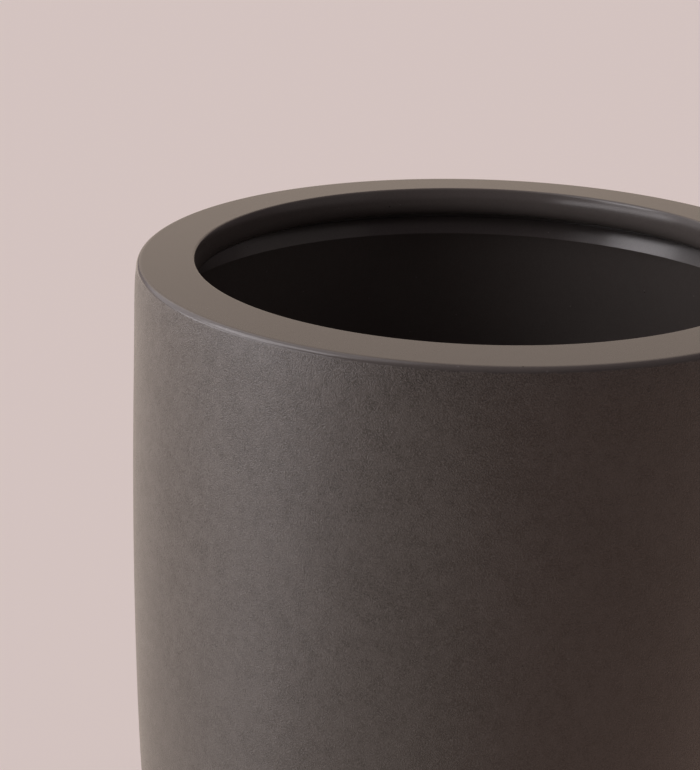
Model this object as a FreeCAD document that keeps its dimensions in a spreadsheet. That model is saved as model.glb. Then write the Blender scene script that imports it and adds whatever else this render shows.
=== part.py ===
# Earthenware plant pot: a tall barrel-shaped floor pot, fired from three clay sections that were
# luted together, with a rubber drain plug and felt foot pads. Millimetres, +Z up, and the origin
# on the floor under the middle of the pot.
import FreeCAD, Part
import os
import Sketcher

doc = FreeCAD.newDocument("plant_pot")

# Driving dimensions: name, value in millimetres, and what it measures
DIMENSIONS = [
    ("height", 500.0, "floor to the flat top of the rim"),
    ("rim_radius", 162.5, "outside of the pot at the top plane, before its edge is rounded"),
    ("belly_swell", 9.0, "how far the widest place stands out past the rim"),
    ("belly_height", 250.0, "floor to the widest place"),
    ("foot_taper", 22.0, "how far the pot draws in from the belly to the foot"),
    ("wall", 10.0, "thickness of the thrown wall"),
    ("rim_width", 28.0, "outside of the rim to the face of the collar"),
    ("rim_thickness", 16.5, "depth of the collar below the top"),
    ("rim_land", 5.0, "width of the luted seat between the wall and the rim ring"),
    ("rim_ledge", 1.5, "flat of the wall's top inside the luted seat"),
    ("undercut", 5.5, "height of the shadow gap between the collar and the seat"),
    ("shoulder_drop", 9.0, "height of the slope inside the top of the wall"),
    ("rim_outer_round", 1.3, "radius of the outer top edge"),
    ("rim_inner_round", 1.3, "radius of the inner top edge"),
    ("collar_ease", 9.0, "radius of the arc that leans the collar's face back below the top"),
    ("collar_ease_height", 5.5, "depth of that arc below the top"),
    ("collar_round", 6.5, "radius of the lower edge of the collar"),
    ("undercut_round", 3.0, "radius of the inside corner of the shadow gap"),
    ("pad_thickness", 3.0, "felt under the foot ring"),
    ("pad_radius", 8.5, "radius of a felt disc"),
    ("foot_height", 5.0, "depth of the recess inside the foot ring"),
    ("foot_ring_width", 24.0, "width of the foot ring"),
    ("foot_outer_round", 4.0, "radius of the outer edge of the foot"),
    ("foot_inner_round", 2.0, "radius of the inner edge of the foot"),
    ("floor_thickness", 13.0, "clay above the recess, at the drain"),
    ("floor_fall", 2.0, "how far the floor falls from the wall to the drain seat"),
    ("floor_cove", 14.0, "radius of the corner between the floor and the wall"),
    ("base_upstand", 26.0, "drain seat up to the joint with the wall"),
    ("drain_radius", 12.5, "drain hole"),
    ("drain_round", 1.5, "radius of the edges of the drain hole"),
    ("seat_margin", 4.0, "flat seat past the flange of the plug"),
    ("plug_clearance", 0.3, "gap between the stem of the plug and the drain hole"),
    ("plug_overlap", 9.0, "how far the flange covers the floor past the drain hole"),
    ("flange_thickness", 4.0, "flange of the plug"),
    ("flange_round", 1.5, "radius of the top edge of the flange"),
    ("stem_length", 14.0, "flange to the tip of the stem"),
    ("stem_taper", 1.5, "how far the stem narrows towards its tip"),
    ("stem_wall", 3.0, "rubber around the hollow of the stem"),
    ("stem_hollow", 10.0, "depth of the hollow in the stem"),
    ("tab_radius", 11.0, "half the width of the pull tab"),
    ("tab_reach", 11.0, "flange to the middle of the hole in the tab"),
    ("tab_hole", 7.0, "radius of the finger hole in the tab"),
    ("tab_thickness", 5.0, "thickness of the pull tab"),
]
sizes = doc.addObject("Spreadsheet::Sheet", "sizes")
for row, (alias, value, note) in enumerate(DIMENSIONS, start=1):
    sizes.set(f"A{row}", note)
    sizes.set(f"B{row}", str(value))
    sizes.setAlias(f"B{row}", alias)
doc.recompute()

# Heights of the seats, as expressions of the driving dimensions
FOOT = "sizes.pad_thickness"
UNDERSIDE = f"({FOOT} + sizes.foot_height)"
SEAT = f"({UNDERSIDE} + sizes.floor_thickness)"
BASE_JOINT = f"({SEAT} + sizes.base_upstand)"
COLLAR_UNDERSIDE = "(sizes.height - sizes.rim_thickness)"
RIM_JOINT = f"({COLLAR_UNDERSIDE} - sizes.undercut)"
SHOULDER = f"({RIM_JOINT} - sizes.shoulder_drop)"
EASE_FOOT = "(sizes.height - sizes.collar_ease_height)"

# The outside is two arcs that are both upright at the belly: the upper one runs to the rim, the lower
# one to the foot. The inside of the wall is the same two arcs, one wall thickness smaller.
BELLY = "(sizes.rim_radius + sizes.belly_swell)"
FOOT_RADIUS = f"({BELLY} - sizes.foot_taper)"
RIM_RISE = "(sizes.height - sizes.belly_height)"
FOOT_DROP = f"(sizes.belly_height - {FOOT})"
UPPER_ARC = f"(({RIM_RISE}^2 + sizes.belly_swell^2) / (2 * sizes.belly_swell))"
LOWER_ARC = f"(({FOOT_DROP}^2 + sizes.foot_taper^2) / (2 * sizes.foot_taper))"
INNER_UPPER_ARC = f"({UPPER_ARC} - sizes.wall)"
INNER_LOWER_ARC = f"({LOWER_ARC} - sizes.wall)"
MOUTH = "(sizes.rim_radius - sizes.rim_width)"
EASE_TOP = f"({MOUTH} + sizes.collar_ease - sqrt(sizes.collar_ease^2 - sizes.collar_ease_height^2))"


def arc_radius_at(level, outer_arc, arc):
    """Distance from the pot's axis to one of the wall's arcs at a level."""
    return f"({BELLY} - {outer_arc} + sqrt({arc}^2 - ({level} - sizes.belly_height)^2))"


RIM_JOINT_RADIUS = arc_radius_at(RIM_JOINT, UPPER_ARC, UPPER_ARC)
LAND_RADIUS = f"({RIM_JOINT_RADIUS} - sizes.rim_land)"
LEDGE_RADIUS = f"({LAND_RADIUS} - sizes.rim_ledge)"
SHOULDER_RADIUS = arc_radius_at(SHOULDER, UPPER_ARC, INNER_UPPER_ARC)
BASE_JOINT_RADIUS = arc_radius_at(BASE_JOINT, LOWER_ARC, LOWER_ARC)
BASE_JOINT_INNER = arc_radius_at(BASE_JOINT, LOWER_ARC, INNER_LOWER_ARC)


def value_of(expression):
    """Present value of an expression, as a plain number."""
    return float(sizes.evalExpression(expression))


def origin_plane(body, role):
    """One of a body's own origin planes."""
    return next(plane for plane in body.Origin.OriginFeatures if plane.Role == role)


def sketch_on(body, name, role):
    """An empty sketch on one of a body's origin planes."""
    sketch = body.newObject("Sketcher::SketchObject", name)
    sketch.AttachmentSupport = [(origin_plane(body, role), "")]
    sketch.MapMode = "FlatFace"
    return sketch


def dimension(sketch, kind, references, name, expression):
    """A named dimension that follows an expression."""
    index = sketch.addConstraint(Sketcher.Constraint(kind, *references, value_of(expression)))
    sketch.renameConstraint(index, name)
    sketch.setExpression(f"Constraints.{name}", expression)


def arc_between(start, end, radius):
    """The short arc that runs anticlockwise from start to end with the given radius."""
    chord = end - start
    middle = start + chord * 0.5
    leftwards = FreeCAD.Vector(-chord.y, chord.x, 0).normalize()
    rise = (radius**2 - (chord.Length / 2) ** 2) ** 0.5
    centre = middle + leftwards * rise
    angles = [(point - centre).getAngle(FreeCAD.Vector(1, 0, 0)) for point in (start, end)]
    signed = [angle if point.y >= centre.y else -angle for angle, point in zip(angles, (start, end))]
    return Part.ArcOfCircle(Part.Circle(centre, FreeCAD.Vector(0, 0, 1), radius), *signed)


def closed_profile(body, name, corners, arcs=()):
    """A closed sketch of a turned section. Corners are (name, radius, height) in order, and arcs
    gives, for each corner whose next side is round, its radius and whether it runs anticlockwise."""
    arcs = dict(arcs)
    sketch = sketch_on(body, name, "XZ_Plane")
    points = [FreeCAD.Vector(value_of(radius), value_of(height), 0) for _, radius, height in corners]
    starts = []
    for index, (corner, _, _) in enumerate(corners):
        start = points[index]
        end = points[(index + 1) % len(points)]
        if corner in arcs:
            radius, anticlockwise = arcs[corner]
            ends = (start, end) if anticlockwise else (end, start)
            side = sketch.addGeometry(arc_between(*ends, value_of(radius)), False)
            starts.append((side, 1, 2) if anticlockwise else (side, 2, 1))
        else:
            side = sketch.addGeometry(Part.LineSegment(start, end), False)
            starts.append((side, 1, 2))
    for index, (side, _, end_point) in enumerate(starts):
        next_side, next_start, _ = starts[(index + 1) % len(starts)]
        sketch.addConstraint(Sketcher.Constraint("Coincident", side, end_point, next_side, next_start))
    for (corner, radius, height), (side, start_point, _) in zip(corners, starts):
        if radius == "0":
            sketch.addConstraint(Sketcher.Constraint("PointOnObject", side, start_point, -2))
        else:
            dimension(sketch, "DistanceX", (-1, 1, side, start_point), f"{corner}_radius", radius)
        dimension(sketch, "DistanceY", (-1, 1, side, start_point), f"{corner}_height", height)
        if corner in arcs:
            dimension(sketch, "Radius", (side,), f"{corner}_arc", arcs[corner][0])
    return sketch


def turned(body, name, sketch):
    """A sketch turned once round the pot's axis."""
    feature = body.newObject("PartDesign::Revolution", name)
    feature.Profile = sketch
    feature.ReferenceAxis = (sketch, ["V_Axis"])
    feature.Angle = 360.0
    doc.recompute()
    return feature


# How near a round edge has to lie to the place that is asked for
EDGE_MATCH = 0.01


def ring_edge(feature, radius, height):
    """Name of the round edge of a turned shape at a radius and a height."""
    target = FreeCAD.Vector(0, 0, value_of(height))
    for index, edge in enumerate(feature.Shape.Edges, start=1):
        curve = edge.Curve
        if not isinstance(curve, Part.Circle):
            continue
        same_radius = abs(curve.Radius - value_of(radius)) < EDGE_MATCH
        if same_radius and (curve.Center - target).Length < EDGE_MATCH:
            return f"Edge{index}"
    raise ValueError(f"no round edge at radius {radius} and height {height}")


def rounded(body, name, feature, edges, radius):
    """A fillet on the round edges at the given radii and heights."""
    fillet = body.newObject("PartDesign::Fillet", name)
    fillet.Base = (feature, [ring_edge(feature, *edge) for edge in edges])
    fillet.setExpression("Radius", radius)
    doc.recompute()
    return fillet


def new_body(label):
    """An empty body whose label names its file."""
    body = doc.addObject("PartDesign::Body", label)
    body.Label = label
    return body


# Rim ring: a thick flat ring whose collar overhangs the inside, on a thin skirt that is luted to the
# wall. The collar's face leans back in an arc below the top, and the skirt leaves the shadow gap under it.
rim_ring = new_body("rim_ring")
rim_profile = closed_profile(
    rim_ring,
    "rim_profile",
    [
        ("skirt_outside", RIM_JOINT_RADIUS, RIM_JOINT),
        ("top_outside", "sizes.rim_radius", "sizes.height"),
        ("top_inside", EASE_TOP, "sizes.height"),
        ("ease_foot", MOUTH, EASE_FOOT),
        ("collar_foot", MOUTH, COLLAR_UNDERSIDE),
        ("gap_corner", LAND_RADIUS, COLLAR_UNDERSIDE),
        ("skirt_inside", LAND_RADIUS, RIM_JOINT),
    ],
    arcs={"skirt_outside": (UPPER_ARC, True), "top_inside": ("sizes.collar_ease", True)},
)
rim = turned(rim_ring, "rim_turned", rim_profile)
rim = rounded(rim_ring, "gap_fillet", rim, [(LAND_RADIUS, COLLAR_UNDERSIDE)], "sizes.undercut_round")
rim = rounded(rim_ring, "collar_fillet", rim, [(MOUTH, COLLAR_UNDERSIDE)], "sizes.collar_round")
rim = rounded(rim_ring, "inner_edge", rim, [(EASE_TOP, "sizes.height")], "sizes.rim_inner_round")
rim = rounded(rim_ring, "outer_edge", rim, [("sizes.rim_radius", "sizes.height")], "sizes.rim_outer_round")

# Pot wall: the thrown barrel. Its top is a narrow flat seat for the rim ring with a ledge inside it, and
# a shoulder slopes down from the ledge to a sharp edge on the inside.
pot_wall = new_body("pot_wall")
wall_profile = closed_profile(
    pot_wall,
    "wall_profile",
    [
        ("base_outside", BASE_JOINT_RADIUS, BASE_JOINT),
        ("belly_outside", BELLY, "sizes.belly_height"),
        ("seat_outside", RIM_JOINT_RADIUS, RIM_JOINT),
        ("seat_inside", LEDGE_RADIUS, RIM_JOINT),
        ("shoulder_edge", SHOULDER_RADIUS, SHOULDER),
        ("belly_inside", f"({BELLY} - sizes.wall)", "sizes.belly_height"),
        ("base_inside", BASE_JOINT_INNER, BASE_JOINT),
    ],
    arcs={
        "base_outside": (LOWER_ARC, True),
        "belly_outside": (UPPER_ARC, True),
        "shoulder_edge": (INNER_UPPER_ARC, False),
        "belly_inside": (INNER_LOWER_ARC, False),
    },
)
turned(pot_wall, "wall_turned", wall_profile)

# Pot base: the floor with the first stretch of wall. The floor falls to a flat seat round the drain
# hole, and the foot ring below lifts the drain clear of what the pot stands on.
pot_base = new_body("pot_base")
FOOT_INNER = f"({FOOT_RADIUS} - sizes.foot_ring_width)"
FLOOR_EDGE = f"({SEAT} + sizes.floor_fall)"
FLOOR_EDGE_RADIUS = arc_radius_at(FLOOR_EDGE, LOWER_ARC, INNER_LOWER_ARC)
FLANGE_RADIUS = "(sizes.drain_radius + sizes.plug_overlap)"
base_profile = closed_profile(
    pot_base,
    "base_profile",
    [
        ("underside_middle", "0", UNDERSIDE),
        ("recess_corner", FOOT_INNER, UNDERSIDE),
        ("foot_inside", FOOT_INNER, FOOT),
        ("foot_outside", FOOT_RADIUS, FOOT),
        ("joint_outside", BASE_JOINT_RADIUS, BASE_JOINT),
        ("joint_inside", BASE_JOINT_INNER, BASE_JOINT),
        ("floor_corner", FLOOR_EDGE_RADIUS, FLOOR_EDGE),
        ("seat_edge", f"({FLANGE_RADIUS} + sizes.seat_margin)", SEAT),
        ("seat_middle", "0", SEAT),
    ],
    arcs={
        "foot_outside": (LOWER_ARC, True),
        "joint_inside": (INNER_LOWER_ARC, False),
    },
)
base = turned(pot_base, "base_turned", base_profile)
base = rounded(pot_base, "floor_cove", base, [(FLOOR_EDGE_RADIUS, FLOOR_EDGE)], "sizes.floor_cove")
base = rounded(pot_base, "foot_outer_edge", base, [(FOOT_RADIUS, FOOT)], "sizes.foot_outer_round")
base = rounded(pot_base, "foot_inner_edge", base, [(FOOT_INNER, FOOT)], "sizes.foot_inner_round")

drain_outline = sketch_on(pot_base, "drain_outline", "XY_Plane")
drain_start = Part.Circle(FreeCAD.Vector(), FreeCAD.Vector(0, 0, 1), value_of("sizes.drain_radius"))
drain_circle = drain_outline.addGeometry(drain_start)
drain_outline.addConstraint(Sketcher.Constraint("Coincident", drain_circle, 3, -1, 1))
dimension(drain_outline, "Radius", (drain_circle,), "drain_radius", "sizes.drain_radius")
clay_before_drain = base.Shape.Volume
drain = pot_base.newObject("PartDesign::Pocket", "drain_hole")
drain.Profile = drain_outline
drain.Type = "ThroughAll"
drain.Midplane = True
doc.recompute()
if drain.Shape.Volume >= clay_before_drain:
    raise RuntimeError("the drain hole cuts nothing")
rounded(
    pot_base,
    "drain_edges",
    drain,
    [("sizes.drain_radius", SEAT), ("sizes.drain_radius", UNDERSIDE)],
    "sizes.drain_round",
)

# Drain plug: a soft stopper with a flange that lies on the seat, a hollow tapered stem in the drain
# hole, and a pull tab to lift it by.
drain_plug = new_body("drain_plug")
FLANGE_TOP = f"({SEAT} + sizes.flange_thickness)"
STEM_RADIUS = "(sizes.drain_radius - sizes.plug_clearance)"
STEM_TIP_RADIUS = f"({STEM_RADIUS} - sizes.stem_taper)"
STEM_TIP = f"({SEAT} - sizes.stem_length)"
plug_profile = closed_profile(
    drain_plug,
    "plug_profile",
    [
        ("hollow_middle", "0", f"({STEM_TIP} + sizes.stem_hollow)"),
        ("hollow_corner", f"({STEM_TIP_RADIUS} - sizes.stem_wall)", f"({STEM_TIP} + sizes.stem_hollow)"),
        ("tip_inside", f"({STEM_TIP_RADIUS} - sizes.stem_wall)", STEM_TIP),
        ("tip_outside", STEM_TIP_RADIUS, STEM_TIP),
        ("stem_top", STEM_RADIUS, SEAT),
        ("flange_below", FLANGE_RADIUS, SEAT),
        ("flange_above", FLANGE_RADIUS, FLANGE_TOP),
        ("flange_middle", "0", FLANGE_TOP),
    ],
)
plug = turned(drain_plug, "plug_turned", plug_profile)
plug = rounded(drain_plug, "flange_edge", plug, [(FLANGE_RADIUS, FLANGE_TOP)], "sizes.flange_round")

TAB_MIDDLE = f"({FLANGE_TOP} + sizes.tab_reach)"
TAB_ROOT = f"({FLANGE_TOP} - sizes.flange_thickness / 2)"
tab_outline = sketch_on(drain_plug, "tab_outline", "XZ_Plane")
half_width = value_of("sizes.tab_radius")
tab_middle = FreeCAD.Vector(0, value_of(TAB_MIDDLE), 0)
left_root = FreeCAD.Vector(-half_width, value_of(TAB_ROOT), 0)
right_root = FreeCAD.Vector(half_width, value_of(TAB_ROOT), 0)
left_top = FreeCAD.Vector(-half_width, tab_middle.y, 0)
right_top = FreeCAD.Vector(half_width, tab_middle.y, 0)
crown = tab_middle + FreeCAD.Vector(0, half_width, 0)
root, right_side, left_side = tab_outline.addGeometry(
    [
        Part.LineSegment(left_root, right_root),
        Part.LineSegment(right_root, right_top),
        Part.LineSegment(left_top, left_root),
    ]
)
top = tab_outline.addGeometry(Part.Arc(right_top, crown, left_top))
hole = tab_outline.addGeometry(Part.Circle(tab_middle, FreeCAD.Vector(0, 0, 1), value_of("sizes.tab_hole")))
for constraint in (
    ("Coincident", root, 2, right_side, 1),
    ("Coincident", left_side, 2, root, 1),
    ("Tangent", right_side, 2, top, 1),
    ("Tangent", top, 2, left_side, 1),
    ("Horizontal", root),
    ("Vertical", right_side),
    ("Vertical", left_side),
    ("PointOnObject", top, 3, -2),
    ("Coincident", hole, 3, top, 3),
):
    tab_outline.addConstraint(Sketcher.Constraint(*constraint))
dimension(tab_outline, "DistanceY", (-1, 1, top, 3), "tab_middle", TAB_MIDDLE)
dimension(tab_outline, "DistanceY", (-1, 1, root, 1), "tab_root", TAB_ROOT)
dimension(tab_outline, "Radius", (top,), "tab_radius", "sizes.tab_radius")
dimension(tab_outline, "Radius", (hole,), "tab_hole", "sizes.tab_hole")
tab = drain_plug.newObject("PartDesign::Pad", "pull_tab")
tab.Profile = tab_outline
tab.setExpression("Length", "sizes.tab_thickness")
tab.Midplane = True

# Foot pads: four felt discs stuck to the flat of the foot ring
FLAT_OUTSIDE = f"({FOOT_RADIUS} - sizes.foot_outer_round)"
FLAT_INSIDE = f"({FOOT_INNER} + sizes.foot_inner_round)"
PAD_CIRCLE = f"(({FLAT_OUTSIDE} + {FLAT_INSIDE}) / 2)"
PAD_PLACES = {
    "foot_pad_front": (0, -1),
    "foot_pad_right": (1, 0),
    "foot_pad_back": (0, 1),
    "foot_pad_left": (-1, 0),
}
foot_pads = []
for label, (across, along) in PAD_PLACES.items():
    pad = doc.addObject("Part::Cylinder", label)
    pad.Label = label
    pad.setExpression("Radius", "sizes.pad_radius")
    pad.setExpression("Height", "sizes.pad_thickness")
    pad.setExpression("Placement.Base.x", f"{across} * {PAD_CIRCLE}")
    pad.setExpression("Placement.Base.y", f"{along} * {PAD_CIRCLE}")
    foot_pads.append(pad)

doc.recompute()
pieces = [rim_ring, pot_wall, pot_base, drain_plug, *foot_pads]
failed = [item.Name for item in doc.Objects if "Invalid" in item.State or "Error" in item.State]
if failed:
    raise RuntimeError(f"failed features: {failed}")
for piece in pieces:
    if piece.Shape.isNull() or not piece.Shape.isValid() or len(piece.Shape.Solids) != 1:
        raise RuntimeError(f"{piece.Label} is not one sound solid")

os.makedirs("parts", exist_ok=True)
for piece in pieces:
    piece.Shape.exportStep(os.path.join("parts", f"{piece.Label}.step"))
    print(piece.Label, round(piece.Shape.Volume / 1000, 2), "cm3")
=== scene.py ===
# Earthenware plant pot: the finish of the clay sections, the plug and the pads, in metres.
import math

import bmesh
import bpy
from mathutils import Matrix, Vector


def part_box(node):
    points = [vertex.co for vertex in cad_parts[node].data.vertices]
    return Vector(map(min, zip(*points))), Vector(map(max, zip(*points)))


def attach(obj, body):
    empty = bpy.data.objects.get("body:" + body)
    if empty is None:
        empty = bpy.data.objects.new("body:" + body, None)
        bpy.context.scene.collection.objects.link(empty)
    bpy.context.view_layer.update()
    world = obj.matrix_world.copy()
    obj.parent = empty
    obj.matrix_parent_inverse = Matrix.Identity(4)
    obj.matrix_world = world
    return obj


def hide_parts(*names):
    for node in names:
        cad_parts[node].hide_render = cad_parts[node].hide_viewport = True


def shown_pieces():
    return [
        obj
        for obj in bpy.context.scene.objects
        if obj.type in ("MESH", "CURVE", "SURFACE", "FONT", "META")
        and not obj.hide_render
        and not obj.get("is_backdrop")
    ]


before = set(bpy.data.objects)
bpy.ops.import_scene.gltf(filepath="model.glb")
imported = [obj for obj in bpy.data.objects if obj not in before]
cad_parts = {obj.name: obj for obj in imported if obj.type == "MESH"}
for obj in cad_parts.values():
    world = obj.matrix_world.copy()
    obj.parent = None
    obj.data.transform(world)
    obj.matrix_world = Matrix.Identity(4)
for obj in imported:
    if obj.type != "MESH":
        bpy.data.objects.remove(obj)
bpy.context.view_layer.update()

# Pot base: the floor of the pot with the first stretch of wall, pressed in dark earthenware. It has a
# foot ring below, a floor that falls to the drain hole, and a rounded corner up to the wall. The slip
# that colours the pot stops just above the foot, which is left as bare fired clay.
foot_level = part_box("pot_base")[0].z
base_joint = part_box("pot_base")[1].z
rim_joint, rim_top = (corner.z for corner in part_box("rim_ring"))
belly_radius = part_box("pot_wall")[1].x
belly_height = 0.250
rim_radius = 0.1625
foot_radius = 0.1495
wall_thickness = 0.010
foot_ring_width = 0.024
foot_height = 0.005
foot_outer_round = 0.004
foot_inner_round = 0.002
floor_thickness = 0.013
floor_fall = 0.002
floor_cove = 0.014
drain_radius = 0.0125
drain_round = 0.0015
drain_seat_radius = 0.0255
brow_swell = 0.0006
brow_depth = 0.012
BASE_STEPS = 4

foot_inner = foot_radius - foot_ring_width
underside = foot_level + foot_height
drain_seat = underside + floor_thickness
floor_edge = drain_seat + floor_fall


def swelling_arc(radius_at_end, height_at_end):
    """Radius of the arc that is upright at the belly and ends at the given radius and height."""
    swell = belly_radius - radius_at_end
    reach = height_at_end - belly_height
    return (reach**2 + swell**2) / (2 * swell)


upper_arc = swelling_arc(rim_radius, rim_top)
lower_arc = swelling_arc(foot_radius, foot_level)


def wall_radius(height, inset=0.0):
    """Distance from the axis to the outside of the pot, or to its inside with the wall as inset. Just below
    the rim the outside swells into a faint brow, where it was turned in by hand."""
    arc = upper_arc if height > belly_height else lower_arc
    radius = belly_radius - arc + math.sqrt((arc - inset) ** 2 - (height - belly_height) ** 2)
    below = (rim_top - height) / brow_depth
    brow = brow_swell * below * math.exp(1 - below)
    return radius if inset else radius + brow


def wall_run(start, end, steps, inset=0.0):
    """Points up or down the wall, without the two ends. Beside a round, its user leaves out one more."""
    heights = [start + (end - start) * step / steps for step in range(1, steps)]
    return [(wall_radius(height, inset), height) for height in heights]


ROUND_STEPS = 10
SUPPORT = 0.0004


def rounded_outline(corners):
    """An outline of (radius, height, edge tone) points from corners (radius, height). A third number rounds
    a corner with an arc, which gets a paler tone: worn slip, and partly a painted highlight. A point by
    each end of the arc keeps the next face flat."""
    outline = []
    for index, corner in enumerate(corners):
        here = Vector(corner[:2])
        if len(corner) == 2:
            outline.append((here.x, here.y, 0.0))
            continue
        before = (Vector(corners[index - 1][:2]) - here).normalized()
        after = (Vector(corners[(index + 1) % len(corners)][:2]) - here).normalized()
        half_angle = before.angle(after) / 2
        setback = corner[2] / math.tan(half_angle)
        centre = here + (before + after).normalized() * corner[2] / math.sin(half_angle)
        first = here + before * setback - centre
        bend = first.angle_signed(here + after * setback - centre)
        start = here + before * (setback + SUPPORT)
        end = here + after * (setback + SUPPORT)
        outline.append((start.x, start.y, 0.0))
        for step in range(ROUND_STEPS + 1):
            along = step / ROUND_STEPS
            point = centre + Matrix.Rotation(-bend * along, 2) @ first
            outline.append((point.x, point.y, math.sin(math.pi * along)))
        outline.append((end.x, end.y, 0.0))
    return outline


def feed(tree, made, socket, value):
    """Links or sets one input of a node, found by its name or its number."""
    target = made.inputs[socket]
    if isinstance(value, bpy.types.NodeSocket):
        tree.links.new(value, target)
    else:
        target.default_value = value


def node(tree, kind, settings=None, **inputs):
    """A node with its settings, and its inputs linked or set by socket name."""
    made = tree.nodes.new(kind)
    for name, value in (settings or {}).items():
        setattr(made, name, value)
    for name, value in inputs.items():
        feed(tree, made, name.replace("_", " "), value)
    return made


def arithmetic(tree, operation, *values):
    """One step of arithmetic on numbers or sockets."""
    made = node(tree, "ShaderNodeMath", {"operation": operation})
    for index, value in enumerate(values):
        feed(tree, made, index, value)
    return made.outputs[0]


def vector_step(tree, operation, *values):
    """One step of arithmetic on vectors."""
    made = node(tree, "ShaderNodeVectorMath", {"operation": operation})
    for index, value in enumerate(values):
        feed(tree, made, index, value)
    return made.outputs[0]


def new_tree(name, inputs):
    """An empty geometry tree with the given inputs, its input sockets and its output node."""
    tree = bpy.data.node_groups.new(name, "GeometryNodeTree")
    tree.is_modifier = True
    for socket, kind in inputs.items():
        tree.interface.new_socket(socket, in_out="INPUT", socket_type=f"NodeSocket{kind}")
    tree.interface.new_socket("Piece", in_out="OUTPUT", socket_type="NodeSocketGeometry")
    return tree, tree.nodes.new("NodeGroupInput").outputs, tree.nodes.new("NodeGroupOutput")


def finish_tree(tree, end, geometry, finish):
    """Ends a geometry tree with real geometry in its material."""
    real = node(tree, "GeometryNodeRealizeInstances", Geometry=geometry)
    finished = node(tree, "GeometryNodeSetMaterial", Geometry=real.outputs[0], Material=finish)
    feed(tree, end, "Piece", finished.outputs[0])


SEAM_REACH = 1e-6


def wheel_tree():
    """The potter's wheel: turns an outline once round the upright axis. The surface gets the slight
    unevenness of a shaped piece, always inwards, so that the piece keeps its outer size."""
    tree, given, end = new_tree(
        "wheel",
        {
            "Outline": "Geometry",
            "Steps Round": "Int",
            "Unevenness": "Float",
            "Unevenness Size": "Float",
            "Unevenness Seed": "Float",
            "Sharp Angle": "Float",
            "Finish": "Material",
        },
    )
    points = node(tree, "GeometryNodeAttributeDomainSize", Geometry=given["Outline"]).outputs["Point Count"]
    columns = arithmetic(tree, "ADD", given["Steps Round"], 1.0)
    grid = node(tree, "GeometryNodeMeshGrid", Vertices_X=columns, Vertices_Y=points)
    index = node(tree, "GeometryNodeInputIndex").outputs[0]
    place = node(tree, "GeometryNodeInputPosition").outputs[0]
    along = arithmetic(tree, "MODULO", index, points)
    column = arithmetic(tree, "FLOOR", arithmetic(tree, "DIVIDE", index, points))
    share = arithmetic(tree, "DIVIDE", column, given["Steps Round"])
    angle = arithmetic(tree, "MULTIPLY", share, math.tau)
    profile = node(
        tree,
        "GeometryNodeSampleIndex",
        {"data_type": "FLOAT_VECTOR"},
        Geometry=given["Outline"],
        Value=place,
        Index=along,
    ).outputs[0]
    swung = node(
        tree, "ShaderNodeVectorRotate", {"rotation_type": "Z_AXIS"}, Vector=profile, Angle=angle
    ).outputs[0]
    turned = node(tree, "GeometryNodeSetPosition", Geometry=grid.outputs["Mesh"], Position=swung)
    # The edge tone of the outline goes with each point: worn slip, and partly a painted highlight.
    outline_edge_wear_and_highlight = node(tree, "GeometryNodeInputNamedAttribute", {"data_type": "FLOAT"}, Name="edge_wear_and_highlight")
    edge_wear_and_highlight = node(
        tree,
        "GeometryNodeSampleIndex",
        {"data_type": "FLOAT"},
        Geometry=given["Outline"],
        Value=outline_edge_wear_and_highlight.outputs[0],
        Index=along,
    ).outputs[0]
    worn_and_highlit_marks = node(
        tree,
        "GeometryNodeStoreNamedAttribute",
        {"data_type": "FLOAT", "domain": "POINT"},
        Geometry=turned.outputs[0],
        Name="edge_wear_and_highlight",
        Value=edge_wear_and_highlight,
    )
    joined = node(tree, "GeometryNodeMergeByDistance", Geometry=worn_and_highlit_marks.outputs[0], Distance=SEAM_REACH)
    flow = node(
        tree,
        "ShaderNodeTexNoise",
        {"noise_dimensions": "4D"},
        Vector=place,
        W=given["Unevenness Seed"],
        Scale=arithmetic(tree, "DIVIDE", 1.0, given["Unevenness Size"]),
        Detail=1.0,
    )
    depth = arithmetic(tree, "MULTIPLY", flow.outputs[0], given["Unevenness"])
    inwards = vector_step(tree, "NORMALIZE", vector_step(tree, "MULTIPLY", place, (-1.0, -1.0, 0.0)))
    push = vector_step(tree, "MULTIPLY", inwards, depth)
    uneven = node(tree, "GeometryNodeSetPosition", Geometry=joined.outputs[0], Offset=push)
    smooth = node(tree, "GeometryNodeSetShadeSmooth", Geometry=uneven.outputs[0], Shade_Smooth=True)
    fold = node(tree, "GeometryNodeInputMeshEdgeAngle").outputs[0]
    creased = node(
        tree,
        "GeometryNodeSetShadeSmooth",
        {"domain": "EDGE"},
        Geometry=smooth.outputs[0],
        Selection=arithmetic(tree, "GREATER_THAN", fold, given["Sharp Angle"]),
        Shade_Smooth=False,
    )
    finish_tree(tree, end, creased.outputs[0], given["Finish"])
    return tree


def shaped(piece, tree, **inputs):
    """Runs a geometry tree on a piece and keeps the result as its plain mesh, without the empty first
    material slot that a bare outline leaves."""
    modifier = piece.modifiers.new(tree.name, "NODES")
    modifier.node_group = tree
    sockets = {item.name: item.identifier for item in tree.interface.items_tree}
    for name, value in inputs.items():
        modifier[sockets[name.replace("_", " ")]] = value
    result = piece.evaluated_get(bpy.context.evaluated_depsgraph_get())
    mesh = bpy.data.meshes.new_from_object(result)
    if mesh.materials[0] is None:
        mesh.materials.pop(index=0)
    piece.modifiers.clear()
    piece.data = mesh


wheel = wheel_tree()
STEPS_ROUND = 240
CLAY_UNEVENNESS = 0.00015
CLAY_UNEVENNESS_SIZE = 0.09
CLAY_SEED = 4.0
SHARP_ANGLE = math.radians(32)


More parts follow.
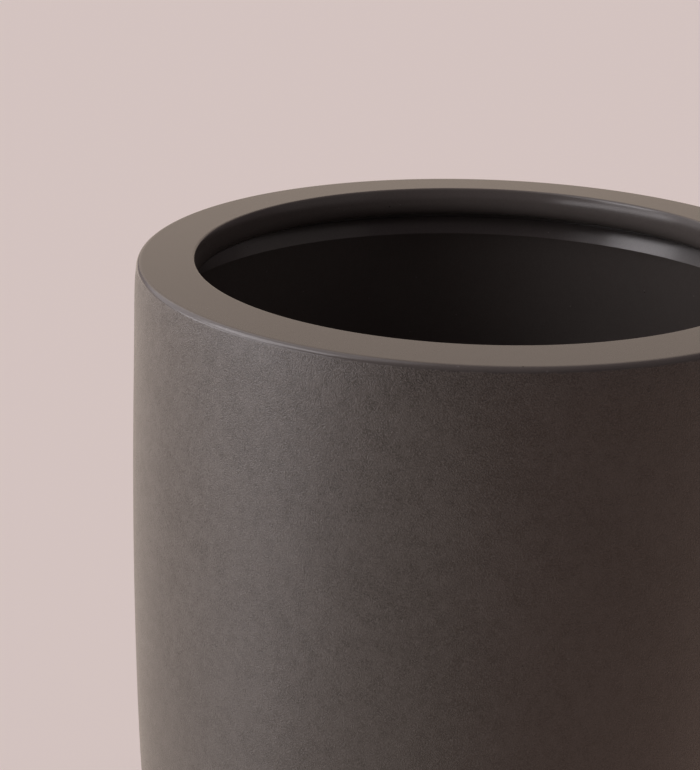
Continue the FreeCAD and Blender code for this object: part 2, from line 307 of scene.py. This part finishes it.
def turned_piece(
    name,
    outline,
    finish,
    steps=STEPS_ROUND,
    uneven=CLAY_UNEVENNESS,
    uneven_size=CLAY_UNEVENNESS_SIZE,
    seed=CLAY_SEED,
):
    """A piece turned from an outline, which is closed unless it starts on the axis."""
    ring = outline if outline[0][0] == 0 else [*outline, outline[0]]
    mesh = bpy.data.meshes.new(name)
    mesh.from_pydata([(radius, 0.0, height) for radius, height, edge_wear_and_highlight in ring], [], [])
    worn_and_highlit_marks = mesh.attributes.new("edge_wear_and_highlight", "FLOAT", "POINT")
    worn_and_highlit_marks.data.foreach_set("value", [edge_wear_and_highlight for radius, height, edge_wear_and_highlight in ring])
    piece = bpy.data.objects.new(name, mesh)
    bpy.context.scene.collection.objects.link(piece)
    shaped(
        piece,
        wheel,
        Steps_Round=steps,
        Unevenness=uneven,
        Unevenness_Size=uneven_size,
        Unevenness_Seed=seed,
        Sharp_Angle=SHARP_ANGLE,
        Finish=finish,
    )
    return piece


def new_material(name):
    """A node material, its tree and its surface shader."""
    material = bpy.data.materials.new(name)
    material.use_nodes = True
    return material, material.node_tree, material.node_tree.nodes["Principled BSDF"]


def mixed(tree, factor, first, second):
    """Two colours mixed by a factor. The node takes colours at inputs 6 and 7 and gives one at output 2."""
    made = node(tree, "ShaderNodeMix", {"data_type": "RGBA"})
    feed(tree, made, 0, factor)
    feed(tree, made, 6, first)
    feed(tree, made, 7, second)
    return made.outputs[2]


def spread(tree, value, low, high, to_low=0.0, to_high=1.0):
    """A value taken from one range to another, held at the ends."""
    return node(
        tree,
        "ShaderNodeMapRange",
        Value=value,
        From_Min=low,
        From_Max=high,
        To_Min=to_low,
        To_Max=to_high,
    ).outputs[0]


slip_colour = (0.076, 0.067, 0.061, 1.0)
slip_dark = (0.036, 0.031, 0.028, 1.0)
slip_pale = (0.135, 0.121, 0.112, 1.0)
fleck_colour = (0.15, 0.138, 0.13, 1.0)
pinhole_colour = (0.012, 0.010, 0.009, 1.0)
# Paler tone for rounded edges: worn slip, and partly a painted highlight along them.
worn_and_highlit_edge_colour = (0.11, 0.096, 0.087, 1.0)
clay_colour = (0.150, 0.098, 0.070, 1.0)
sanded_roughness = (0.26, 0.43)
sanded_relief = 0.6
sanded_contrast = 1.0
wiped_roughness = (0.19, 0.23)
wiped_relief = 0.02
wiped_contrast = 0.15
mottle_share = 0.7
sand_share = 0.35
grain_depth = 0.0004
thinning_and_highlight = (0.2, 0.7)
fleck_reach = 0.16
fleck_core = 0.08
fleck_share = 0.05
pinhole_share = 0.02
slip_end_rise = 0.001
slip_end_blend = 0.0004
slip_end_wander = 0.002
bare_roughness = 0.9
TONE_RANGE = (0.4, 0.6)
SAND_RANGE = (0.42, 0.72)
CLOUD_RANGE = (0.25, 0.75)
NOISE_RANGE = (0.3, 0.7)
CLOUDS_PER_METRE = 26.0
MOTTLES_PER_METRE = 170.0
GRAIN_PER_METRE = 1700.0
FLECKS_PER_METRE = 330.0


def fired_slip(name, roughness, relief, contrast, bare_below=None):
    """Satin charcoal slip over clay: soft clouds and mottles of tone, a fine sandy grain that also stands
    out as relief, sparse pale flecks and pinholes, and a paler tone over rounded edges, partly where the
    slip thins and partly a painted highlight along them. Below a level the clay is left bare."""
    material, tree, shader = new_material(name)
    place = node(tree, "ShaderNodeTexCoord").outputs["Object"]
    clouds = node(
        tree, "ShaderNodeTexNoise", Vector=place, Scale=CLOUDS_PER_METRE, Detail=3.0
    ).outputs[0]
    mottles = node(
        tree, "ShaderNodeTexNoise", Vector=place, Scale=MOTTLES_PER_METRE, Detail=3.0, Roughness=0.75
    ).outputs[0]
    grain = node(
        tree, "ShaderNodeTexNoise", Vector=place, Scale=GRAIN_PER_METRE, Detail=1.0, Roughness=0.6
    ).outputs[0]
    flecks = node(tree, "ShaderNodeTexVoronoi", Vector=place, Scale=FLECKS_PER_METRE)
    edge_wear_and_highlight = node(tree, "ShaderNodeAttribute", {"attribute_name": "edge_wear_and_highlight"}).outputs["Fac"]
    cloud_part = arithmetic(tree, "MULTIPLY", clouds, 1 - mottle_share)
    tone = arithmetic(tree, "MULTIPLY_ADD", mottles, mottle_share, cloud_part)
    uneven = spread(tree, tone, *TONE_RANGE, 0.5 - contrast / 2, 0.5 + contrast / 2)
    ground = mixed(tree, uneven, slip_dark, slip_colour)
    least_sand = sand_share * (1 - contrast)
    sand = spread(tree, grain, *SAND_RANGE, least_sand, least_sand + contrast)
    sanded = mixed(tree, sand, ground, slip_pale)
    # Paler over rounded edges: partly thinner slip, and partly a painted highlight along the edges.
    thin_and_highlit_edges = arithmetic(tree, "MULTIPLY", edge_wear_and_highlight, spread(tree, clouds, *CLOUD_RANGE, *thinning_and_highlight))
    broken_and_highlit = mixed(tree, thin_and_highlit_edges, sanded, worn_and_highlit_edge_colour)
    chance = node(tree, "ShaderNodeSeparateColor", Color=flecks.outputs["Color"]).outputs[0]
    near = spread(tree, flecks.outputs["Distance"], fleck_reach, fleck_core)
    fleck = arithmetic(tree, "MULTIPLY", near, arithmetic(tree, "GREATER_THAN", chance, 1 - fleck_share))
    pinhole = arithmetic(tree, "MULTIPLY", near, arithmetic(tree, "LESS_THAN", chance, pinhole_share))
    colour = mixed(tree, pinhole, mixed(tree, fleck, broken_and_highlit, fleck_colour), pinhole_colour)
    gloss = spread(tree, grain, *NOISE_RANGE, *roughness)
    if bare_below is not None:
        height = node(tree, "ShaderNodeSeparateXYZ", Vector=place).outputs[2]
        ragged = arithmetic(tree, "MULTIPLY_ADD", clouds, slip_end_wander, height)
        slip_end = bare_below + slip_end_rise
        bare = spread(tree, ragged, slip_end + slip_end_blend, slip_end)
        colour = mixed(tree, bare, colour, mixed(tree, sand, clay_colour, slip_pale))
        gloss = arithmetic(tree, "MAXIMUM", gloss, arithmetic(tree, "MULTIPLY", bare, bare_roughness))
    bump = node(tree, "ShaderNodeBump", Strength=relief, Distance=grain_depth, Height=grain).outputs[0]
    feed(tree, shader, "Base Color", colour)
    feed(tree, shader, "Roughness", gloss)
    feed(tree, shader, "Normal", bump)
    return material


OUTWARD_LIMIT = 0.95
DOWNWARD_LIMIT = -0.7


def wipe_inside(piece, finish):
    """Gives a second finish to the faces above the foot that look neither outwards nor down."""
    piece.data.materials.append(finish)
    for face in piece.data.polygons:
        outwards = Vector((face.center.x, face.center.y, 0.0)).normalized()
        wiped = face.normal.dot(outwards) < OUTWARD_LIMIT and face.normal.z > DOWNWARD_LIMIT
        if wiped and face.center.z > underside:
            face.material_index = 1


wiped_slip = fired_slip("wiped_slip", wiped_roughness, wiped_relief, wiped_contrast)
pot_base = turned_piece(
    "pot_base_clay",
    rounded_outline(
        [
            (drain_radius, underside, drain_round),
            (foot_inner, underside),
            (foot_inner, foot_level, foot_inner_round),
            (foot_radius, foot_level, foot_outer_round),
            *wall_run(foot_level, base_joint, BASE_STEPS)[1:],
            (wall_radius(base_joint), base_joint),
            (wall_radius(base_joint, wall_thickness), base_joint),
            (wall_radius(floor_edge, wall_thickness), floor_edge, floor_cove),
            (drain_seat_radius, drain_seat),
            (drain_radius, drain_seat, drain_round),
        ]
    ),
    fired_slip("sanded_slip_and_bare_foot", sanded_roughness, sanded_relief, sanded_contrast, underside),
)
wipe_inside(pot_base, wiped_slip)
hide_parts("pot_base")
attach(pot_base, "pot")

# Pot wall: the barrel, luted to the base with slip. The outside and inside run in long arcs, and the
# top of the wall is a narrow flat seat with a shoulder that slopes down to a crisp inner edge.
rim_land = 0.005
rim_ledge = 0.0015
shoulder_drop = 0.009
shoulder_edge_round = 0.0004
WALL_STEPS = 96

shoulder = rim_joint - shoulder_drop
land_radius = wall_radius(rim_joint) - rim_land
sanded_slip = fired_slip("sanded_slip", sanded_roughness, sanded_relief, sanded_contrast)
pot_wall = turned_piece(
    "pot_wall_clay",
    rounded_outline(
        [
            (wall_radius(base_joint), base_joint),
            *wall_run(base_joint, rim_joint, WALL_STEPS),
            (wall_radius(rim_joint), rim_joint),
            (land_radius - rim_ledge, rim_joint),
            (wall_radius(shoulder, wall_thickness), shoulder, shoulder_edge_round),
            *wall_run(shoulder, base_joint, WALL_STEPS, wall_thickness),
            (wall_radius(base_joint, wall_thickness), base_joint),
        ]
    ),
    sanded_slip,
)
wipe_inside(pot_wall, wiped_slip)
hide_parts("pot_wall")
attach(pot_wall, "pot")

# Rim ring: a thick flat ring of the same clay, luted on the seat by a thin skirt. Its collar hangs over
# the inside and leaves a shadow gap below. Its edges are eased with a sponge before firing.
rim_width = 0.028
rim_thickness = 0.0165
rim_outer_round = 0.0027
rim_inner_round = 0.0013
collar_ease = 0.025
collar_ease_height = 0.0083
collar_round = 0.0077
undercut_round = 0.003

mouth_radius = rim_radius - rim_width
collar_foot = rim_top - rim_thickness
ease_foot = rim_top - collar_ease_height
EASE_STEPS = 6
BROW_STEPS = 5


def eased_radius(height):
    """Distance from the axis to the collar's face, which leans back in an arc below the rim's top."""
    return mouth_radius + collar_ease - math.sqrt(collar_ease**2 - (height - ease_foot) ** 2)


ease = [rim_top - collar_ease_height * step / EASE_STEPS for step in range(1, EASE_STEPS + 1)]
rim_ring = turned_piece(
    "rim_ring_clay",
    rounded_outline(
        [
            (wall_radius(rim_joint), rim_joint),
            *wall_run(rim_joint, rim_top, BROW_STEPS)[:-1],
            (rim_radius, rim_top, rim_outer_round),
            (eased_radius(rim_top), rim_top, rim_inner_round),
            *((eased_radius(height), height) for height in ease),
            (mouth_radius, collar_foot, collar_round),
            (land_radius, collar_foot, undercut_round),
            (land_radius, rim_joint),
        ]
    ),
    sanded_slip,
)
wipe_inside(rim_ring, wiped_slip)
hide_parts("rim_ring")
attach(rim_ring, "pot")

# Drain plug: a stopper moulded in one piece of soft black rubber. Its hollow stem tapers into the drain
# hole, the flange seals on the seat round it, and a pull tab with a finger hole stands on top.
plug_low, plug_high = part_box("drain_plug")
flange_radius = plug_high.x
flange_thickness = 0.004
flange_round = 0.0015
stem_clearance = 0.0003
stem_taper = 0.0015
stem_wall = 0.003
stem_hollow = 0.010
stem_round = 0.0006
tab_radius = 0.011
tab_hole = 0.007
tab_thickness = 0.005
tab_round = 0.0012
tab_sink = 0.001
rubber_voxel = 0.0004
rubber_colour = (0.022, 0.022, 0.023, 1.0)
rubber_bloom = (0.050, 0.049, 0.047, 1.0)
rubber_roughness = (0.55, 0.75)
rubber_relief = 0.2
rubber_grain_depth = 0.0002
BLOOM_RANGE = (0.45, 0.8)
BLOOM_PER_METRE = 140.0
RUBBER_GRAIN_PER_METRE = 2400.0
PLUG_STEPS_ROUND = 120
TAB_STEPS = 72
TAB_ROUND_STEPS = 4
LEAST_SIDEWAYS = 1e-6
RUBBER_SOFTENING = 6

flange_top = drain_seat + flange_thickness
tab_middle = plug_high.z - tab_radius
stem_radius = drain_radius - stem_clearance
stem_end = stem_radius - stem_taper
hollow_radius = stem_end - stem_wall


def moulded_rubber(name):
    """Matt black rubber with a spark-eroded mould grain and a faint pale bloom."""
    material, tree, shader = new_material(name)
    place = node(tree, "ShaderNodeTexCoord").outputs["Object"]
    bloom = node(
        tree, "ShaderNodeTexNoise", Vector=place, Scale=BLOOM_PER_METRE, Detail=4.0
    ).outputs[0]
    grain = node(
        tree, "ShaderNodeTexNoise", Vector=place, Scale=RUBBER_GRAIN_PER_METRE, Detail=1.0
    ).outputs[0]
    dusty = spread(tree, bloom, *BLOOM_RANGE)
    feed(tree, shader, "Base Color", mixed(tree, dusty, rubber_colour, rubber_bloom))
    feed(tree, shader, "Roughness", spread(tree, bloom, *NOISE_RANGE, *rubber_roughness))
    bump = node(
        tree, "ShaderNodeBump", Strength=rubber_relief, Distance=rubber_grain_depth, Height=grain
    ).outputs[0]
    feed(tree, shader, "Normal", bump)
    return material


def tab_section(reach):
    """One cut through the tab outwards from the finger hole, as (distance, across) with round corners."""
    half = tab_thickness / 2 - tab_round
    near = tab_hole + tab_round
    far = reach - tab_round
    section = []
    for corner, (distance, offset) in enumerate(((far, half), (near, half), (near, -half), (far, -half))):
        for step in range(TAB_ROUND_STEPS + 1):
            angle = math.pi / 2 * (corner + step / TAB_ROUND_STEPS)
            out = tab_round * math.cos(angle)
            aside = tab_round * math.sin(angle)
            section.append((distance + out, offset + aside))
    return section


def add_pull_tab(form):
    """Adds the tab to a mesh in the making: cuts all round the finger hole, joined to a closed loop."""
    rings = []
    for step in range(TAB_STEPS):
        angle = math.tau * step / TAB_STEPS
        sideways = math.cos(angle)
        upwards = math.sin(angle)
        reach = tab_radius
        if upwards < 0:
            to_root = (tab_middle - flange_top + tab_sink) / -upwards
            reach = min(to_root, tab_radius / max(abs(sideways), LEAST_SIDEWAYS))
        ring = []
        for distance, offset in tab_section(reach):
            ring.append(form.verts.new((distance * sideways, offset, tab_middle + distance * upwards)))
        rings.append(ring)
    for ring, following in zip(rings, rings[1:] + rings[:1]):
        for index in range(len(ring)):
            after = (index + 1) % len(ring)
            form.faces.new((ring[index], ring[after], following[after], following[index]))


rubber = moulded_rubber("moulded_rubber")
drain_plug = turned_piece(
    "drain_plug_rubber",
    rounded_outline(
        [
            (0.0, plug_low.z + stem_hollow),
            (hollow_radius, plug_low.z + stem_hollow, stem_round),
            (hollow_radius, plug_low.z, stem_round),
            (stem_end, plug_low.z, stem_round),
            (stem_radius, drain_seat),
            (flange_radius, drain_seat, stem_round),
            (flange_radius, flange_top, flange_round),
            (0.0, flange_top),
        ]
    ),
    rubber,
    steps=PLUG_STEPS_ROUND,
    uneven=0.0,
)
form = bmesh.new()
form.from_mesh(drain_plug.data)
add_pull_tab(form)
bmesh.ops.recalc_face_normals(form, faces=form.faces)
form.to_mesh(drain_plug.data)
form.free()
fuse = drain_plug.modifiers.new("fuse", "REMESH")
fuse.mode = "VOXEL"
fuse.voxel_size = rubber_voxel
fuse.use_smooth_shade = True
soften = drain_plug.modifiers.new("soften", "SMOOTH")
soften.iterations = RUBBER_SOFTENING
moulded = drain_plug.evaluated_get(bpy.context.evaluated_depsgraph_get())
drain_plug.data = bpy.data.meshes.new_from_object(moulded)
drain_plug.modifiers.clear()
drain_plug.data.materials.clear()
drain_plug.data.materials.append(rubber)
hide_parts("drain_plug")
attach(drain_plug, "plug")

# Foot pads: four discs punched from pressed wool felt and glued under the foot ring. Their cut edge is
# slightly ragged, and short fibres stand out of it, pressed flat where the pot stands on them.
felt_edge_round = 0.0005
felt_unevenness = 0.0003
felt_unevenness_size = 0.003
felt_fibre_length = 0.0006
felt_fibre_radius = 0.00002
felt_fibre_bow = 0.6
felt_fibre_lean = 0.5
felt_fibre_turn = 3.1
felt_colour = (0.075, 0.071, 0.067, 1.0)
felt_pale = (0.15, 0.143, 0.135, 1.0)
felt_roughness = 0.95
felt_sheen = 0.3
felt_shine = 0.2
felt_relief = 0.6
felt_depth = 0.0004
MATTING_RANGE = (0.4, 0.7)
MATTING_PER_METRE = 900.0
FELT_FIBRES_PER_SQUARE_METRE = 1.5e6
FELT_FIBRE_STEPS = 3
FELT_FIBRE_SIDES = 3
FELT_EDGE_STEPS = 6
PAD_STEPS_ROUND = 90
UPRIGHT_LIMIT = 0.3


def pressed_felt(name):
    """Dark grey felt: matted fibres in two tones that lie every way, with a soft sheen."""
    material, tree, shader = new_material(name)
    place = node(tree, "ShaderNodeTexCoord").outputs["Object"]
    matting = node(
        tree,
        "ShaderNodeTexNoise",
        Vector=place,
        Scale=MATTING_PER_METRE,
        Detail=4.0,
        Roughness=0.7,
        Distortion=2.5,
    ).outputs[0]
    lifted = spread(tree, matting, *MATTING_RANGE)
    feed(tree, shader, "Base Color", mixed(tree, lifted, felt_colour, felt_pale))
    bump = node(tree, "ShaderNodeBump", Strength=felt_relief, Distance=felt_depth, Height=matting)
    feed(tree, shader, "Normal", bump.outputs[0])
    shader.inputs["Roughness"].default_value = felt_roughness
    shader.inputs["Sheen Weight"].default_value = felt_sheen
    shader.inputs["Specular IOR Level"].default_value = felt_shine
    return material


def fibre_tree():
    """Short fibres that stand out of the upright faces of a felt piece."""
    tree, given, end = new_tree(
        "felt fibres",
        {
            "Felt": "Geometry",
            "Fibres": "Float",
            "Fibre Length": "Float",
            "Fibre Radius": "Float",
            "Fibre Seed": "Int",
            "Finish": "Material",
        },
    )
    normal = node(tree, "GeometryNodeInputNormal").outputs[0]
    tilt = arithmetic(tree, "ABSOLUTE", node(tree, "ShaderNodeSeparateXYZ", Vector=normal).outputs[2])
    upright = arithmetic(tree, "LESS_THAN", tilt, UPRIGHT_LIMIT)
    roots = node(
        tree,
        "GeometryNodeDistributePointsOnFaces",
        Mesh=given["Felt"],
        Selection=upright,
        Density=given["Fibres"],
        Seed=given["Fibre Seed"],
    )
    tip = node(tree, "ShaderNodeCombineXYZ", Z=given["Fibre Length"]).outputs[0]
    bow = vector_step(tree, "MULTIPLY", tip, (0.0, 0.0, felt_fibre_bow))
    aside = node(tree, "ShaderNodeCombineXYZ", X=given["Fibre Length"]).outputs[0]
    line = node(
        tree,
        "GeometryNodeCurveQuadraticBezier",
        Resolution=FELT_FIBRE_STEPS,
        Start=(0.0, 0.0, 0.0),
        Middle=vector_step(tree, "ADD", bow, aside),
        End=tip,
    )
    ring = node(
        tree,
        "GeometryNodeCurvePrimitiveCircle",
        Resolution=FELT_FIBRE_SIDES,
        Radius=given["Fibre Radius"],
    )
    fibre = node(
        tree,
        "GeometryNodeCurveToMesh",
        Curve=line.outputs[0],
        Profile_Curve=ring.outputs[0],
        Fill_Caps=True,
    )
    lean = node(
        tree,
        "FunctionNodeRandomValue",
        {"data_type": "FLOAT_VECTOR"},
        Min=(-felt_fibre_lean, -felt_fibre_lean, -felt_fibre_turn),
        Max=(felt_fibre_lean, felt_fibre_lean, felt_fibre_turn),
        Seed=given["Fibre Seed"],
    )
    planted = node(
        tree,
        "GeometryNodeInstanceOnPoints",
        Points=roots.outputs["Points"],
        Instance=fibre.outputs[0],
        Rotation=roots.outputs["Rotation"],
    )
    leaning = node(
        tree, "GeometryNodeRotateInstances", Instances=planted.outputs[0], Rotation=lean.outputs[0]
    )
    together = node(tree, "GeometryNodeJoinGeometry")
    feed(tree, together, 0, leaning.outputs[0])
    feed(tree, together, 0, given["Felt"])
    finish_tree(tree, end, together.outputs[0], given["Finish"])
    return tree


felt = pressed_felt("pressed_felt")
fuzz = fibre_tree()
for count, side in enumerate(("front", "right", "back", "left")):
    pad_low, pad_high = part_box(f"foot_pad_{side}")
    pad_radius = (pad_high.x - pad_low.x) / 2
    pad_x = (pad_low.x + pad_high.x) / 2
    pad_y = (pad_low.y + pad_high.y) / 2
    thickness = pad_high.z - pad_low.z
    edge = [pad_low.z + thickness * step / FELT_EDGE_STEPS for step in range(2, FELT_EDGE_STEPS - 1)]
    pad = turned_piece(
        f"foot_pad_{side}_felt",
        rounded_outline(
            [
                (0.0, pad_low.z),
                (pad_radius, pad_low.z, felt_edge_round),
                *((pad_radius, height) for height in edge),
                (pad_radius, pad_high.z, felt_edge_round),
                (0.0, pad_high.z),
            ]
        ),
        felt,
        steps=PAD_STEPS_ROUND,
        uneven=felt_unevenness,
        uneven_size=felt_unevenness_size,
        seed=float(count),
    )
    pad.data.transform(Matrix.Translation((pad_x, pad_y, 0.0)))
    shaped(
        pad,
        fuzz,
        Fibres=FELT_FIBRES_PER_SQUARE_METRE,
        Fibre_Length=felt_fibre_length,
        Fibre_Radius=felt_fibre_radius,
        Fibre_Seed=count,
        Finish=felt,
    )
    for point in pad.data.vertices:
        point.co.z = max(point.co.z, pad_low.z)
    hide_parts(f"foot_pad_{side}")
    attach(pad, "pot")

# Stage: one plain pale floor that runs out to the horizon, where the world takes over its colour. The
# camera sees it pale, while the pot mirrors a floor that is lighter on the left, in a dim room.
floor_reach = 60.0
paper_colour = (0.62, 0.60, 0.62, 1.0)
paper_glow = (0.335, 0.272, 0.24, 1.0)
horizon_colour = (0.658, 0.565, 0.533, 1.0)
room_colour = (0.18, 0.145, 0.15, 1.0)
mirrored_left = (0.905, 0.75, 0.65, 1.0)
mirrored_right = (0.705, 0.485, 0.40, 1.0)
bounced_back = (0.75, 0.74, 0.71, 1.0)
nothing = (0.0, 0.0, 0.0, 1.0)
floor_blend = 0.1
FLOOR_STEPS_ROUND = 96


def across(tree, axis, below, above):
    """A colour that changes from one side of the pot to the other along the X or Y axis."""
    place = node(tree, "ShaderNodeTexCoord").outputs["Object"]
    side = node(tree, "ShaderNodeSeparateXYZ", Vector=place).outputs[axis]
    return mixed(tree, spread(tree, side, -floor_blend, floor_blend), below, above)


def by_ray(tree, bounced, mirrored, seen):
    """One colour for light that is bounced on, one for reflections, and one that the camera sees."""
    ray = node(tree, "ShaderNodeLightPath").outputs
    unseen = mixed(tree, ray["Is Glossy Ray"], bounced, mirrored)
    return mixed(tree, ray["Is Camera Ray"], unseen, seen)


paper, paper_tree, paper_shader = new_material("pale_paper")
bounced_light = across(paper_tree, 1, nothing, bounced_back)
mirrored_light = across(paper_tree, 0, mirrored_left, mirrored_right)
glow = by_ray(paper_tree, bounced_light, mirrored_light, paper_glow)
feed(paper_tree, paper_shader, "Base Color", by_ray(paper_tree, nothing, nothing, paper_colour))
feed(paper_tree, paper_shader, "Emission Color", glow)
paper_shader.inputs["Emission Strength"].default_value = 1.0
paper_shader.inputs["Roughness"].default_value = 1.0
paper_shader.inputs["Specular IOR Level"].default_value = 0.0
floor_outline = rounded_outline([(0.0, 0.0), (floor_reach, 0.0)])
floor = turned_piece("floor", floor_outline, paper, steps=FLOOR_STEPS_ROUND, uneven=0.0)
floor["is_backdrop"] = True

world = bpy.data.worlds.new("studio")
world.use_nodes = True
sky = world.node_tree
feed(sky, sky.nodes["Background"], "Color", by_ray(sky, room_colour, room_colour, horizon_colour))
bpy.context.scene.world = world

# Light: upright soft panels on the left, one above another, that shine on the pot alone. Broad soft
# lights come from the left and from behind, and a weak one from the right.
panel_distance = 0.6
panel_colour = (1.0, 0.95, 0.98)
lit_by_panels = bpy.data.collections.new("lit_by_panels")
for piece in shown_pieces():
    lit_by_panels.objects.link(piece)


def toward(azimuth, elevation=0.0):
    """Unit direction at an azimuth, in degrees clockwise from straight behind the pot, and an elevation
    in degrees."""
    level = math.cos(math.radians(elevation))
    turn = math.radians(azimuth)
    return Vector((math.sin(turn) * level, math.cos(turn) * level, math.sin(math.radians(elevation))))


def add_lamp(name, kind, colour, direction):
    """A lamp that shines from a direction towards the pot."""
    lamp = bpy.data.objects.new(name, bpy.data.lights.new(name, kind))
    lamp.data.color = colour
    lamp.rotation_euler = direction.to_track_quat("Z", "Y").to_euler()
    bpy.context.scene.collection.objects.link(lamp)
    return lamp


def add_panel(name, azimuth, width, low, high, radiance):
    """An upright soft panel that lights the pieces of the pot but not the floor."""
    lamp = add_lamp(name, "AREA", panel_colour, toward(azimuth))
    lamp.data.shape = "RECTANGLE"
    lamp.data.size = width
    lamp.data.size_y = high - low
    lamp.data.energy = radiance * math.pi * width * (high - low)
    lamp.location = toward(azimuth) * panel_distance + Vector((0.0, 0.0, (low + high) / 2))
    lamp.visible_camera = False
    lamp.light_linking.receiver_collection = lit_by_panels


def add_soft_light(name, azimuth, elevation, half_angle, radiance, colour):
    """A far broad light that fills a cone of the sky."""
    lamp = add_lamp(name, "SUN", colour, toward(azimuth, elevation))
    lamp.data.angle = math.radians(2 * half_angle)
    lamp.data.energy = radiance * math.pi * math.sin(math.radians(half_angle)) ** 2


add_panel("top_panel", azimuth=253, width=0.64, low=0.88, high=1.20, radiance=2.8)
add_panel("upper_panel", azimuth=254, width=0.32, low=0.71, high=0.86, radiance=4.3)
add_panel("edge_panel", azimuth=246, width=0.66, low=0.52, high=0.63, radiance=3.0)
add_panel("lower_panel", azimuth=240, width=0.34, low=0.35, high=0.51, radiance=3.4)
add_panel("low_panel", azimuth=240, width=0.27, low=0.0, high=0.20, radiance=1.9)
add_soft_light("left", azimuth=283, elevation=42, half_angle=40, radiance=0.97, colour=(1.0, 0.96, 1.0))
add_soft_light("back", azimuth=355, elevation=28, half_angle=30, radiance=0.50, colour=(1.0, 0.82, 0.62))
add_soft_light("right", azimuth=105, elevation=20, half_angle=27, radiance=0.12, colour=(1.0, 0.96, 0.89))

# Camera: stands in front of the pot and above its rim, turned as the photograph's was, in radians. Its
# lens gives the photograph's focal length, which is in pixels like the height of the picture.
photo_focal_length = 1450
photo_height = 770
sensor_size = 36.0
camera_distance = 0.6748
camera_height = 0.6841
camera_yaw = -0.0908
camera_pitch = 0.3597
camera_roll = 0.0112
camera_lens = photo_focal_length / photo_height * sensor_size
forward = Vector(
    (
        math.sin(camera_yaw) * math.cos(camera_pitch),
        math.cos(camera_yaw) * math.cos(camera_pitch),
        -math.sin(camera_pitch),
    )
)
level_right = Vector((math.cos(camera_yaw), -math.sin(camera_yaw), 0.0))
level_up = level_right.cross(forward)
right = level_right * math.cos(camera_roll) + level_up * math.sin(camera_roll)
up = level_up * math.cos(camera_roll) - level_right * math.sin(camera_roll)
camera = bpy.data.objects.new("camera", bpy.data.cameras.new("camera"))
camera.data.lens = camera_lens
camera.data.sensor_width = sensor_size
aim = Matrix((right, up, -forward)).transposed().to_4x4()
camera.matrix_world = Matrix.Translation((0.0, -camera_distance, camera_height)) @ aim
bpy.context.scene.collection.objects.link(camera)
bpy.context.scene.camera = camera
bpy.context.scene.view_settings.view_transform = "Standard"
